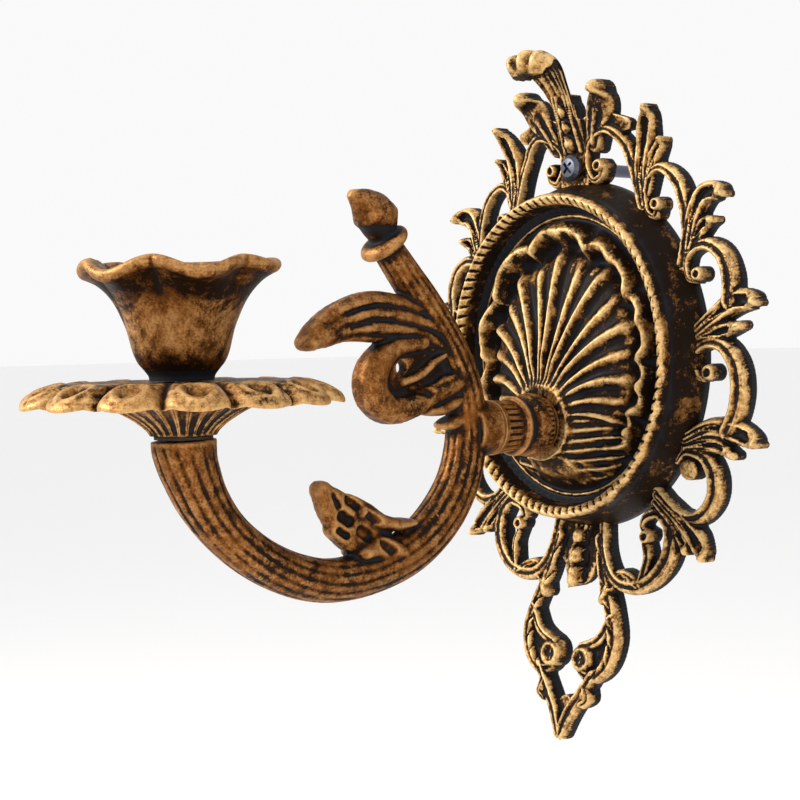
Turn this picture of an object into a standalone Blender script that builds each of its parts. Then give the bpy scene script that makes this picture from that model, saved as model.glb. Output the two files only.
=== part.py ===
"""Wall sconce for one candle: a pierced cast wall plate, a scrolled arm, a drip pan and a cup.

The wall is the plane Y = 0 and the sconce stands out from it along -Y, with +Z up.
The origin is the centre of the fixing-screw hole, in the plane of the wall.
Lengths are in millimetres until the last step of each shape, which scales them to metres.
"""

import math

import bmesh
import bpy
from mathutils import Matrix, Vector

MM = 0.001
GAP = 0.3  # air left between two pieces that bear on each other

# Wall plate
BORDER_THICK = 5.5
OVAL_Z = -59.3  # centre of the oval dish
OVAL_HALF_WIDTH = 50.3
OVAL_HALF_HEIGHT = 54.9
BORDER_SPREAD = 0.955  # widens or narrows the pierced border about the centre line
TAIL_BEND_Z = -112.0  # below this height the plate leans out from the wall
TAIL_LEAN = 0.18
CREST_BEND_Z = 5.0  # above this height it leans out too
CREST_LEAN = 0.33
RING_FRONT = -16.0
HUB_Z = -80.4  # centre of the shell's hub, which is the arm bolt's axis
HUB_FRONT = -22.0
HUB_BACK = -17.0
HUB_RADIUS = 11.0
TIP_Z = -180.6
DISH_SIDES = 40
WALL_SIDE = (200.0, 40.0, 300.0)  # the block behind the wall plane that trims the casting flat
WALL_SIDE_Z = -70.0

# Arm, in the plane X = 0
ARM_SIDES = 12
COLLAR_FRONT = -44.0
COLLAR_RADIUS = 9.8
CUP_Y = -151.5  # vertical axis of the pan and the cup
ARM_END_Z = -78.3
ARM_MIDDLE_Y = -120.0

# Pan and cup, turned about the vertical axis at CUP_Y
PAN_RADIUS = 42.5
PAN_PETALS = 14
PAN_TOP_Z = -63.1
PAN_FOOT_Z = -77.0
CUP_HEIGHT = 32.3
CUP_RIM_RADIUS = 25.0
CUP_LOBES = 6
CUP_WALL = 1.7

# Fasteners
SCREW_BITE = 8.0  # how far the arm bolt and the cup screw reach into the arm
ARM_BOLT_RADIUS = 2.5
ARM_BOLT_HEAD = (4.8, 3.2)  # radius and height of each head
CUP_SCREW_HEAD = (3.8, 2.4)
WALL_SCREW_HEAD = (4.1, 2.6)
ARM_WASHER = (6.0, 1.0)  # outer radius and thickness of each washer
ARM_SPRING_WASHER = (4.6, 1.3)
CUP_WASHER = (4.6, 0.8)
PAN_WASHER_RADIUS = 7.8
CUP_FLOOR = 3.6  # thickness of the cup's floor, from the pan up
CUP_SCREW_RADIUS = 2.0
WALL_SCREW_RADIUS = 2.0
WALL_SCREW_LENGTH = 30.0
SCREW_SLACK = 0.35  # radial clearance of each hole round its screw


def clear_scene():
    for old in list(bpy.data.objects):
        bpy.data.objects.remove(old, do_unlink=True)


def finish(name, colour, roughness, metallic):
    """A plain metal finish."""
    material = bpy.data.materials.new(name)
    material.use_nodes = True
    shader = material.node_tree.nodes["Principled BSDF"]
    shader.inputs["Base Color"].default_value = (*colour, 1.0)
    shader.inputs["Roughness"].default_value = roughness
    shader.inputs["Metallic"].default_value = metallic
    return material


def add_object(name, bm, material=None):
    """Makes the object, turning its mesh from millimetres to metres."""
    bmesh.ops.scale(bm, vec=(MM, MM, MM), verts=bm.verts)
    bmesh.ops.recalc_face_normals(bm, faces=bm.faces)
    mesh = bpy.data.meshes.new(name)
    bm.to_mesh(mesh)
    bm.free()
    mesh.shade_smooth()
    mesh.set_sharp_from_angle(angle=math.radians(35))
    obj = bpy.data.objects.new(name, mesh)
    if material:
        mesh.materials.append(material)
    bpy.context.collection.objects.link(obj)
    return obj


def helper(name, bm):
    """A solid that only joins or cuts another one."""
    obj = add_object(name, bm)
    obj.hide_render = True
    obj.display_type = "WIRE"
    return obj


def boolean(obj, others, operation, solver="EXACT"):
    """Joins or cuts the object with each helper in turn, and drops the helpers."""
    for other in others:
        modifier = obj.modifiers.new(other.name, "BOOLEAN")
        modifier.operation = operation
        modifier.solver = solver
        modifier.object = other
    graph = bpy.context.evaluated_depsgraph_get()
    result = bpy.data.meshes.new_from_object(obj.evaluated_get(graph), depsgraph=graph)
    obj.modifiers.clear()
    obj.data = result
    for other in others:
        bpy.data.objects.remove(other, do_unlink=True)
    obj.data.shade_smooth()
    obj.data.set_sharp_from_angle(angle=math.radians(35))


def smooth_path(points, steps):
    """A Catmull-Rom curve through tuples of numbers, with this many steps to each stretch."""
    ends = [points[0], *points, points[-1]]
    path = []
    for a, b, c, d in zip(ends, ends[1:], ends[2:], ends[3:]):
        for step in range(steps):
            t = step / steps
            path.append(tuple(
                0.5 * (2 * q + (r - p) * t + (2 * p - 5 * q + 4 * r - s) * t * t
                       + (3 * q - p - 3 * r + s) * t ** 3)
                for p, q, r, s in zip(a, b, c, d)
            ))
    path.append(tuple(points[-1]))
    return path


def spun(bm, profile, centre, axis, sides):
    """Turns a closed profile of (radius, height) about an axis through the centre."""
    frame = Vector(axis).to_track_quat("Z", "Y").to_matrix().to_4x4()
    place = Matrix.Translation(centre) @ frame
    verts = [bm.verts.new(place @ Vector((r, 0, h))) for r, h in profile]
    edges = [bm.edges.new(pair) for pair in zip(verts, verts[1:] + verts[:1])]
    bmesh.ops.spin(
        bm, geom=verts + edges, cent=centre, axis=axis, angle=math.tau, steps=sides,
        use_merge=True,
    )
    bmesh.ops.remove_doubles(bm, verts=bm.verts, dist=1e-4)
    bmesh.ops.dissolve_degenerate(bm, edges=bm.edges, dist=1e-4)


def turned(profile, centre, axis, sides=24):
    bm = bmesh.new()
    spun(bm, profile, centre, axis, sides)
    return bm


def rod(radius, start, end, centre, axis, sides=20):
    """The bmesh of a plain cylinder between two heights along its axis."""
    return turned([(0, start), (radius, start), (radius, end), (0, end)], centre, axis, sides)


def loft(rings, sides):
    """A closed solid through ellipses, each given as (matrix, half width, half height)."""
    bm = bmesh.new()
    loops = []
    for place, half_width, half_height in rings:
        made = bmesh.ops.create_circle(bm, cap_ends=False, radius=1.0, segments=sides)
        for vert in made["verts"]:
            vert.co = place @ Vector((vert.co.x * half_width, vert.co.y * half_height, 0))
        loops.append(made["verts"])
    for first, second in zip(loops, loops[1:]):
        for a, b, c, d in zip(first, first[1:] + first[:1], second[1:] + second[:1], second):
            bm.faces.new((a, b, c, d))
    bmesh.ops.holes_fill(bm, edges=[edge for edge in bm.edges if edge.is_boundary])
    return bm


def swept(points, sides, steps=3):
    """A round rod of varying radius along a curve of (x, y, z, radius) points."""
    path = smooth_path(points, steps)
    rings = []
    for i, (x, y, z, radius) in enumerate(path):
        before = Vector(path[max(i - 1, 0)][:3])
        after = Vector(path[min(i + 1, len(path) - 1)][:3])
        turn = (after - before).to_track_quat("Z", "X").to_matrix().to_4x4()
        rings.append((Matrix.Translation((x, y, z)) @ turn, radius, radius))
    return loft(rings, sides)


def ribbon(points, place, low, high, steps=3):
    """A flat band of varying width along (u, v, width) points, as a prism from low to high."""
    path = smooth_path(points, steps)
    left, right = [], []
    for i, (u, v, width) in enumerate(path):
        before = Vector(path[max(i - 1, 0)][:2])
        after = Vector(path[min(i + 1, len(path) - 1)][:2])
        along = (after - before).normalized()
        across = Vector((-along.y, along.x)) * width / 2
        left.append((u + across.x, v + across.y))
        right.append((u - across.x, v - across.y))
    bm = bmesh.new()
    verts = [bm.verts.new(place(u, v, low)) for u, v in left + right[::-1]]
    face = bm.faces.new(verts)
    out = bmesh.ops.extrude_face_region(bm, geom=[face])
    moved = [item for item in out["geom"] if isinstance(item, bmesh.types.BMVert)]
    bmesh.ops.translate(bm, vec=place(0, 0, high) - place(0, 0, low), verts=moved)
    return bm


def on_wall(side):
    """Places (across, up, depth) on the plate, right-hand side +1 or left-hand side -1."""
    return lambda u, v, w: Vector((side * BORDER_SPREAD * u, w, v))


def on_arm(u, v, w):
    """Places (out from the wall, up, sideways) in the arm's plane."""
    return Vector((w, u, v))


# The right-hand half of the pierced border: bands as (across, up, width) points.
BORDER_BANDS = {
    "scroll_1": [(11.6, -1.4, 1.8), (10.4, -4.3, 2.2), (6.8, -3.8, 2.4), (4.8, 1.0, 2.6),
                 (6.8, 7.6, 2.8), (13.5, 10.3, 3.2), (20.5, 8.0, 3.8), (25.0, 1.0, 4.4),
                 (28.4, -8.0, 5.0), (31.0, -17.0, 5.0)],
    "leaf_1": [(30.0, -12.0, 5.0), (29.0, -2.0, 6.0), (31.0, 7.0, 7.5), (34.2, 13.6, 4.2),
               (35.4, 15.6, 1.6)],
    "leaf_1_lobe": [(31.0, -10.0, 4.0), (33.8, -1.0, 5.0), (37.0, 4.6, 3.0), (38.2, 6.2, 1.4)],
    "scroll_2": [(36.3, -15.0, 1.8), (35.0, -18.0, 2.2), (31.8, -16.0, 2.4), (30.8, -10.0, 2.6),
                 (33.5, -4.6, 3.0), (38.8, -3.0, 3.6), (43.8, -7.2, 4.2), (46.8, -15.0, 4.6),
                 (48.0, -23.0, 4.8), (46.0, -32.0, 4.8)],
    "leaf_2": [(48.0, -26.0, 5.0), (50.5, -18.0, 6.5), (54.5, -12.0, 7.0), (60.0, -11.6, 4.6),
               (62.6, -12.8, 1.6)],
    "leaf_2_lobe": [(49.0, -27.0, 4.0), (54.0, -21.0, 4.6), (58.6, -19.4, 2.0)],
    "scroll_3": [(46.0, -33.0, 3.2), (49.5, -28.6, 3.8), (55.2, -26.6, 4.4), (61.0, -29.4, 5.2),
                 (64.2, -36.0, 5.8), (64.0, -43.0, 5.8)],
    "leaf_3": [(49.0, -53.0, 5.0), (58.5, -47.6, 6.0), (66.0, -44.0, 7.0), (72.8, -43.6, 4.6),
               (75.4, -44.4, 1.6)],
    "leaf_3_lobe": [(49.0, -54.0, 4.0), (60.0, -52.2, 5.0), (68.5, -50.4, 2.4)],
    "scroll_4": [(49.0, -58.0, 3.2), (55.0, -56.2, 4.0), (61.4, -56.8, 5.0), (66.0, -62.0, 5.8),
                 (67.4, -68.6, 6.2), (66.0, -75.6, 6.0), (62.6, -81.0, 5.6)],
    "leaf_4": [(46.0, -84.0, 5.0), (56.0, -80.4, 6.0), (65.6, -82.0, 7.0), (72.6, -83.8, 4.6),
               (75.0, -84.6, 1.6)],
    "leaf_4_lobe": [(45.0, -86.0, 4.0), (57.0, -85.4, 5.0), (65.6, -88.4, 2.6)],
    "scroll_5": [(42.0, -90.0, 3.2), (48.6, -87.6, 4.2), (54.4, -89.6, 5.0), (57.4, -95.6, 5.8),
                 (56.2, -102.6, 5.6), (50.0, -108.2, 5.0), (42.0, -107.0, 4.2),
                 (34.0, -101.0, 4.0)],
    "leaf_5": [(34.0, -103.0, 5.0), (43.5, -109.4, 6.0), (49.6, -114.6, 6.4), (53.2, -118.8, 4.0),
               (54.4, -120.8, 1.6)],
    "scroll_6": [(25.6, -113.6, 2.4), (27.6, -108.4, 3.4), (35.0, -107.0, 5.0),
                 (40.0, -113.5, 6.0), (38.8, -121.8, 6.0), (32.6, -128.2, 5.4),
                 (24.6, -130.4, 5.0), (16.8, -128.6, 4.6), (11.4, -121.5, 4.2),
                 (9.0, -110.0, 4.0)],
    "scroll_6_stalk": [(29.6, -116.0, 3.4), (31.4, -121.6, 3.2), (29.0, -129.0, 3.4)],
    "leg": [(10.5, -119.0, 4.0), (13.6, -130.0, 4.8), (18.4, -139.4, 5.2), (20.8, -148.0, 5.4),
            (18.6, -156.0, 5.0), (12.6, -160.4, 4.6), (6.6, -159.0, 4.0), (6.4, -154.0, 3.4)],
    "leg_foot": [(13.0, -159.6, 4.6), (8.0, -166.2, 4.8), (3.4, -172.6, 5.0), (0.6, -180.0, 4.0)],
    "crest_web": [(2.0, 8.0, 9.0), (12.0, 12.4, 7.0), (23.4, 11.6, 4.0)],
    "side_plume": [(9.0, 8.0, 6.0), (12.4, 14.0, 9.0), (15.2, 19.4, 10.0), (16.8, 24.4, 5.0)],
}
# Bands on the centre line.
CENTRE_BANDS = {
    "screw_pad": [(0.0, -12.0, 14.0), (0.0, -2.0, 11.0), (0.0, 8.0, 10.0), (0.0, 18.0, 11.0)],
    "pendant": [(0.0, -108.0, 7.0), (0.0, -118.0, 5.4), (0.0, -125.0, 5.6), (0.0, -133.0, 3.0)],
}
# Round eyes of the scrolls: (across, up, radius).
SCROLL_EYES = [(9.8, 0.4, 2.7), (34.4, -13.8, 2.5), (50.4, -35.8, 3.2), (53.0, -64.4, 3.6),
               (46.6, -93.6, 3.6), (29.0, -115.0, 3.0), (6.8, -153.6, 4.0), (9.4, -165.8, 1.8)]
# Beads down the centre line: (up, front of the bead, radius).
BEADS = [(17.3, -9.0, 1.7), (12.5, -8.6, 1.6), (7.3, -8.2, 2.1),
         (-116.0, -7.0, 1.8), (-124.4, -7.6, 2.6), (-131.0, -6.6, 1.9)]
SPLIT_MM = 0.07  # each next band is this much thicker, so that no two fronts lie in one plane


def border_bands():
    """Every band and eye of the border as a helper solid, both halves."""
    made = []
    for side in (1, -1):
        place = on_wall(side)
        for i, (name, points) in enumerate(BORDER_BANDS.items()):
            front = -BORDER_THICK + SPLIT_MM * (i % 4)
            made.append(helper(f"{name}_{side}", ribbon(points, place, 0.0, front, steps=2)))
        for i, (across, up, radius) in enumerate(SCROLL_EYES):
            centre = place(across, up, 0.0)
            eye = rod(radius, 0.0, BORDER_THICK + 0.6, centre, (0, -1, 0), 10)
            made.append(helper(f"eye_{i}_{side}", eye))
    for name, points in CENTRE_BANDS.items():
        bm = ribbon(points, on_wall(1), 0.0, -BORDER_THICK - 0.4, steps=2)
        made.append(helper(name, bm))
    return made


def beads():
    """Short domed studs down the centre line of the crest and of the pendant."""
    made = []
    for up, front, radius in BEADS:
        profile = [(0, 1.0), (radius, 1.0), (radius, -front - radius),
                   (0.75 * radius, -front - 0.35 * radius), (0, -front)]
        made.append(helper("bead", turned(profile, (0, 0, up), (0, -1, 0), 10)))
    return made


def crest_plume():
    """The central plume, which rises from the crest and curls forward over itself."""
    spine = [(-3.6, 11.0, 2.6, 5.0), (-4.4, 18.0, 2.8, 6.5), (-6.0, 25.0, 3.0, 8.8),
             (-8.6, 31.0, 3.0, 10.8), (-12.0, 33.4, 3.0, 11.2), (-15.4, 31.4, 2.4, 9.5)]
    path = smooth_path(spine, 2)
    rings = []
    for i, (y, z, half_thick, half_width) in enumerate(path):
        before = path[max(i - 1, 0)]
        after = path[min(i + 1, len(path) - 1)]
        along = Vector((0, after[0] - before[0], after[1] - before[1]))
        turn = along.to_track_quat("Z", "X").to_matrix().to_4x4()
        rings.append((Matrix.Translation((0, y, z)) @ turn, half_thick, half_width))
    return loft(rings, 12)


def bottom_tip():
    """The lower point of the plate, which leans out from the wall to a small ball."""
    return swept([(0, -2.8, TIP_Z + 12.6, 2.2), (0, -3.4, TIP_Z + 6.6, 2.7),
                  (0, -4.2, TIP_Z + 1.6, 2.6), (0, -6.0, TIP_Z, 2.2)], 10, steps=2)


def oval(scale, y, shift=0.0):
    """One level of the dish: an oval at this depth, its centre moved down towards the hub."""
    place = Matrix.Translation((0, y, OVAL_Z + shift * (HUB_Z - OVAL_Z)))
    lay = Matrix.Rotation(math.radians(90), 4, "X")
    return place @ lay, OVAL_HALF_WIDTH * scale, OVAL_HALF_HEIGHT * scale


def dish(sides):
    """The front of the dish: sloping skirt, rolled ring, hollow moulding and domed shell."""
    return loft([
        oval(1.0, 0.0), oval(1.0, -2.6), oval(0.955, -9.0), oval(0.93, -14.6),
        oval(0.905, RING_FRONT), oval(0.86, RING_FRONT), oval(0.83, -13.0),
        oval(0.79, -9.0), oval(0.73, -8.6, shift=0.05), oval(0.58, -14.0, shift=0.30),
        oval(0.37, -19.0, shift=0.70),
        oval(HUB_RADIUS / OVAL_HALF_WIDTH, HUB_FRONT, shift=1.0),
    ], sides)


def dish_hollow(sides):
    """The space behind the dish, which leaves an even wall and a thick hub."""
    return loft([
        oval(0.93, 1.0), oval(0.93, -0.8), oval(0.89, -8.4), oval(0.865, -12.0),
        oval(0.84, -11.4), oval(0.79, -5.6), oval(0.71, -5.2, shift=0.06),
        oval(0.54, -10.6, shift=0.34), oval(0.31, -15.4, shift=0.78),
        oval(0.16, HUB_BACK, shift=1.0),
    ], sides)


def lean_out(plate):
    """Leans the tail and the crest out from the wall, straight from each bend line."""
    for vert in plate.data.vertices:
        below = max(0.0, TAIL_BEND_Z * MM - vert.co.z)
        above = max(0.0, vert.co.z - CREST_BEND_Z * MM)
        vert.co.y -= TAIL_LEAN * below + CREST_LEAN * above


def make_wall_plate(material):
    plate = add_object("wall_plate", dish(DISH_SIDES), material)
    boolean(plate, [helper("hollow", dish_hollow(DISH_SIDES))], "DIFFERENCE")
    boolean(plate, border_bands(), "UNION")
    boolean(plate, beads() + [helper("plume", crest_plume()), helper("tip", bottom_tip())],
            "UNION")
    below = bmesh.new()
    bmesh.ops.create_cube(below, size=1.0)
    bmesh.ops.scale(below, vec=WALL_SIDE, verts=below.verts)
    bmesh.ops.translate(below, vec=(0, WALL_SIDE[1] / 2, WALL_SIDE_Z), verts=below.verts)
    screw_hole = rod(WALL_SCREW_RADIUS + SCREW_SLACK, -5, 20, (0, 0, 0), (0, -1, 0))
    bolt_hole = rod(ARM_BOLT_RADIUS + SCREW_SLACK, 10, 30, (0, 0, HUB_Z), (0, -1, 0))
    cutters = [helper("wall_side", below), helper("screw_hole", screw_hole),
               helper("bolt_hole", bolt_hole)]
    boolean(plate, cutters, "DIFFERENCE")
    lean_out(plate)


# The arm's curve from the cup end round the bottom and up to the bud: (out, up, radius).
ARM_CURVE = [(CUP_Y, ARM_END_Z + 3.0, 8.8), (CUP_Y, ARM_END_Z - 2.7, 8.6),
             (-150.2, -86.0, 8.1), (-146.2, -95.0, 7.2),
             (-139.4, -104.0, 6.5), (-129.4, -111.8, 6.3), (-117.4, -117.8, 6.3),
             (-104.0, -120.6, 6.3), (-90.0, -119.2, 6.6), (-76.0, -114.6, 6.9),
             (-64.6, -106.4, 6.9), (-56.4, -95.0, 6.6), (-53.0, -81.0, 6.3),
             (-54.6, -67.0, 6.0), (-60.4, -54.6, 5.8), (-68.4, -43.2, 5.5),
             (-76.2, -33.6, 5.0), (-82.8, -25.6, 4.6)]
ARM_BUD = [(-83.0, -25.0, 4.0), (-84.8, -21.0, 5.4), (-86.6, -16.6, 5.6), (-90.4, -13.4, 3.9),
           (-95.0, -12.8, 2.0)]
# Flat castings in the arm's plane: (out, up, width) points, and half of their thickness.
ARM_BANDS = {
    "big_leaf": ([(-70.0, -50.0, 12.0), (-80.0, -48.0, 13.0), (-91.0, -46.8, 13.6),
                  (-100.4, -47.8, 12.0), (-107.6, -50.8, 8.4), (-111.4, -53.6, 4.0)], 4.4),
    "volute": ([(-84.0, -54.0, 9.0), (-87.4, -61.2, 9.4), (-86.6, -69.4, 9.6),
                (-80.0, -73.6, 8.6), (-72.0, -72.0, 8.0), (-62.0, -67.0, 8.0)], 5.0),
    "small_leaf": ([(-86.0, -114.0, 12.0), (-95.0, -107.6, 14.0), (-103.0, -100.6, 11.0),
                    (-108.6, -95.0, 4.6)], 3.0),
}
VOLUTE_WEB = [(-60.0, -62.0, 12.0), (-70.0, -62.6, 17.0), (-82.0, -63.4, 18.0)]
VOLUTE_EYE = (-78.2, -61.6, 2.0)  # out, up, radius of the small hole through the web


def cup_side(item):
    """Whether a vertex, edge or face lies wholly in the outer half of the arm."""
    verts = [item] if isinstance(item, bmesh.types.BMVert) else item.verts
    return all(vert.co.y < ARM_MIDDLE_Y for vert in verts)


def make_arm(material):
    curve = swept([(0, y, z, r) for y, z, r in ARM_CURVE], ARM_SIDES)
    cup_end = [item for kind in (curve.verts, curve.edges, curve.faces) for item in kind
               if cup_side(item)]
    bmesh.ops.bisect_plane(curve, geom=cup_end, plane_co=(0, CUP_Y, ARM_END_Z),
                           plane_no=(0, 0, 1), clear_outer=True)
    bmesh.ops.holes_fill(curve, edges=[edge for edge in curve.edges if edge.is_boundary])
    arm = add_object("arm", curve, material)
    joined = [helper("bud", swept([(0, y, z, r) for y, z, r in ARM_BUD], 10, steps=2))]
    lean = Vector((0, -0.62, 0.78)).normalized()
    flange = turned([(0, -1.4), (6.8, -1.4), (7.2, 0), (6.8, 1.4), (0, 1.4)],
                    (0, -82.9, -25.2), lean, 14)
    joined.append(helper("flange", flange))
    for name, (points, half) in ARM_BANDS.items():
        joined.append(helper(name, ribbon(points, on_arm, -half, half, steps=2)))
    joined.append(helper("web", ribbon(VOLUTE_WEB, on_arm, -2.2, 2.2, steps=2)))
    seat = rod(COLLAR_RADIUS - 1.6, -10.3, 0, (0, COLLAR_FRONT - GAP, HUB_Z), (0, 1, 0), 18)
    joined.append(helper("seat", seat))
    boolean(arm, joined, "UNION", solver="MANIFOLD")
    out, up, radius = VOLUTE_EYE
    cutters = [
        helper("eye", rod(radius, -8, 8, (0, out, up), (1, 0, 0), 12)),
        helper("bolt_bore", rod(ARM_BOLT_RADIUS + SCREW_SLACK, -9.0, 5.0,
                                (0, COLLAR_FRONT, HUB_Z), (0, 1, 0))),
        helper("screw_bore", rod(CUP_SCREW_RADIUS + SCREW_SLACK, -12.0, 5.0,
                                 (0, CUP_Y, ARM_END_Z), (0, 0, 1))),
    ]
    boolean(arm, cutters, "DIFFERENCE", solver="MANIFOLD")


def make_arm_collar(material):
    """The turned ring between the hub and the arm: a fluted neck, a ridge and a round band."""
    bore = ARM_BOLT_RADIUS + SCREW_SLACK
    length = HUB_FRONT - COLLAR_FRONT - GAP
    profile = [(bore, 0), (7.6, 0), (7.2, 1.5), (7.2, 7.0), (8.4, 7.8), (9.0, 9.4), (8.0, 11.0),
               (7.4, 12.0), (9.4, 13.4), (COLLAR_RADIUS, 16.0), (9.4, 18.6), (8.2, 20.0),
               (8.2, length), (bore, length)]
    centre = (0, HUB_FRONT - GAP, HUB_Z)
    add_object("arm_collar", turned(profile, centre, (0, -1, 0), 24), material)


def washer(name, inner, outer, thick, centre, axis, material):
    profile = [(inner, 0), (outer, 0), (outer, thick), (inner, thick)]
    add_object(name, turned(profile, centre, axis, 20), material)


def headed_screw(name, radius, length, head, centre, axis, material):
    """A screw with a low domed head and a cross recess: the head's under side is at the centre."""
    head_radius, head_height = head
    profile = [(0, -length), (0.7 * radius, -length), (radius, -length + radius), (radius, 0),
               (head_radius, 0), (head_radius, 0.45 * head_height),
               (0.72 * head_radius, 0.86 * head_height), (0, head_height)]
    screw = add_object(name, turned(profile, centre, axis, 20), material)
    frame = Vector(axis).to_track_quat("Z", "Y").to_matrix().to_4x4()
    slots = []
    for turn in (45, 135):
        slot = bmesh.new()
        bmesh.ops.create_cube(slot, size=1.0)
        bmesh.ops.scale(slot, vec=(1.1 * head_radius, 0.26 * head_radius, head_height),
                        verts=slot.verts)
        spin = Matrix.Rotation(math.radians(turn), 4, "Z")
        lift = Matrix.Translation((0, 0, head_height))
        bmesh.ops.transform(slot, matrix=Matrix.Translation(centre) @ frame @ spin @ lift,
                            verts=slot.verts)
        slots.append(helper(f"{name}_slot_{turn}", slot))
    boolean(screw, slots, "DIFFERENCE")


def petal_ring(bm, z_of, radius, lobes, depth, droop, sides):
    """A closed loop round the cup's axis whose radius and height follow the petals."""
    verts = []
    for i in range(sides):
        angle = math.tau * i / sides
        lobe = abs(math.cos(lobes * angle / 2))
        r = radius * (1 - depth * (1 - lobe))
        z = z_of - droop * (1 - lobe)
        verts.append(bm.verts.new((r * math.cos(angle), CUP_Y + r * math.sin(angle), z)))
    return [bm.edges.new(pair) for pair in zip(verts, verts[1:] + verts[:1])]


def petal_solid(levels, lobes, sides):
    """A ring-shaped solid through petal rings given as (height, radius, depth, droop).

    The levels run round the wall's section, and the last one is bridged to the first.
    """
    bm = bmesh.new()
    loops = [petal_ring(bm, z, r, lobes, depth, droop, sides) for z, r, depth, droop in levels]
    for first, second in zip(loops, loops[1:] + loops[:1]):
        bmesh.ops.bridge_loops(bm, edges=first + second)
    return bm


def make_drip_pan(material):
    """A shallow dish of drooping petals, cast in one with the fluted cone below it."""
    bore = CUP_SCREW_RADIUS + SCREW_SLACK
    levels = [
        (PAN_TOP_Z, bore, 0, 0), (PAN_TOP_Z, 9.5, 0, 0), (PAN_TOP_Z - 1.2, 12.0, 0, 0),
        (PAN_TOP_Z + 0.4, 24.0, 0, 0), (PAN_TOP_Z - 0.4, 34.0, 0.02, 0.6),
        (PAN_TOP_Z - 3.0, PAN_RADIUS, 0.11, -0.6), (PAN_TOP_Z - 4.4, PAN_RADIUS, 0.11, -0.6),
        (PAN_TOP_Z - 3.6, 33.0, 0.02, 0.6), (PAN_TOP_Z - 4.6, 24.0, 0, 0),
        (PAN_TOP_Z - 8.6, 15.0, 0, 0), (PAN_TOP_Z - 11.6, 10.0, 0, 0),
        (PAN_FOOT_Z, 8.4, 0, 0), (PAN_FOOT_Z, bore, 0, 0),
    ]
    add_object("drip_pan", petal_solid(levels, PAN_PETALS, 56), material)


def make_candle_cup(material):
    """A flower-shaped cup: a narrow foot, a belled body and a flared rim of soft petals."""
    foot = PAN_TOP_Z + GAP
    top = foot + CUP_HEIGHT - 3.0
    bore = CUP_SCREW_RADIUS + SCREW_SLACK
    levels = [
        (foot, bore, 0, 0), (foot, 8.2, 0, 0), (foot + 2.4, 8.4, 0, 0), (foot + 4.6, 11.2, 0, 0),
        (foot + 8.2, 12.8, 0, 0), (foot + 14.0, 14.2, 0, 0), (foot + 20.0, 16.8, 0.01, 0),
        (foot + 25.0, 20.2, 0.03, 0.4), (top, CUP_RIM_RADIUS + 1.2, 0.10, -2.2),
        (top + 1.4, CUP_RIM_RADIUS + 1.0, 0.10, -2.2),
        (foot + 26.0, 20.2 - CUP_WALL, 0.03, 0.4), (foot + 20.0, 16.8 - CUP_WALL, 0.01, 0),
        (foot + 14.0, 14.2 - CUP_WALL, 0, 0), (foot + 8.2, 12.8 - CUP_WALL, 0, 0),
        (foot + 4.6, 10.9, 0, 0), (foot + 3.6, 10.4, 0, 0), (foot + 3.2, bore, 0, 0),
    ]
    add_object("candle_cup", petal_solid(levels, CUP_LOBES, 36), material)


def main():
    clear_scene()
    plate_gold = finish("antique_gold", (0.34, 0.22, 0.08), 0.45, 0.75)
    arm_bronze = finish("antique_bronze", (0.30, 0.16, 0.055), 0.48, 0.75)
    zinc = finish("zinc_steel", (0.55, 0.56, 0.58), 0.35, 0.9)
    black_steel = finish("black_steel", (0.10, 0.11, 0.13), 0.4, 0.8)
    fibre = finish("black_fibre", (0.02, 0.02, 0.02), 0.8, 0.0)

    make_wall_plate(plate_gold)
    make_arm(arm_bronze)
    make_arm_collar(arm_bronze)
    make_drip_pan(arm_bronze)
    make_candle_cup(arm_bronze)

    inwards = (0, 1, 0)
    washer_y = HUB_BACK + GAP
    hole = ARM_BOLT_RADIUS + SCREW_SLACK
    washer("arm_washer", hole, *ARM_WASHER, (0, washer_y, HUB_Z), inwards, zinc)
    spring_y = washer_y + ARM_WASHER[1] + GAP
    washer("arm_spring_washer", hole, *ARM_SPRING_WASHER, (0, spring_y, HUB_Z), inwards, zinc)
    head_y = spring_y + ARM_SPRING_WASHER[1] + GAP
    headed_screw("arm_bolt", ARM_BOLT_RADIUS, head_y - COLLAR_FRONT + SCREW_BITE, ARM_BOLT_HEAD,
                 (0, head_y, HUB_Z), inwards, zinc)
    headed_screw("wall_screw", WALL_SCREW_RADIUS, WALL_SCREW_LENGTH, WALL_SCREW_HEAD,
                 (0, -BORDER_THICK - 0.4 - GAP, 0), (0, -1, 0), black_steel)

    upwards = (0, 0, 1)
    cup_floor = PAN_TOP_Z + GAP + CUP_FLOOR
    screw_head = cup_floor + CUP_WASHER[1] + GAP
    clearance = CUP_SCREW_RADIUS + SCREW_SLACK
    washer("cup_washer", clearance, *CUP_WASHER, (0, CUP_Y, cup_floor), upwards, zinc)
    headed_screw("cup_screw", CUP_SCREW_RADIUS, screw_head - ARM_END_Z + SCREW_BITE,
                 CUP_SCREW_HEAD, (0, CUP_Y, screw_head), upwards, zinc)
    washer("pan_washer", clearance, PAN_WASHER_RADIUS, PAN_FOOT_Z - ARM_END_Z - 2 * GAP,
           (0, CUP_Y, ARM_END_Z + GAP), upwards, fibre)


main()
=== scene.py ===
import math

import bmesh
import bpy
import numpy as np
from mathutils import Matrix, Vector, noise


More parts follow.
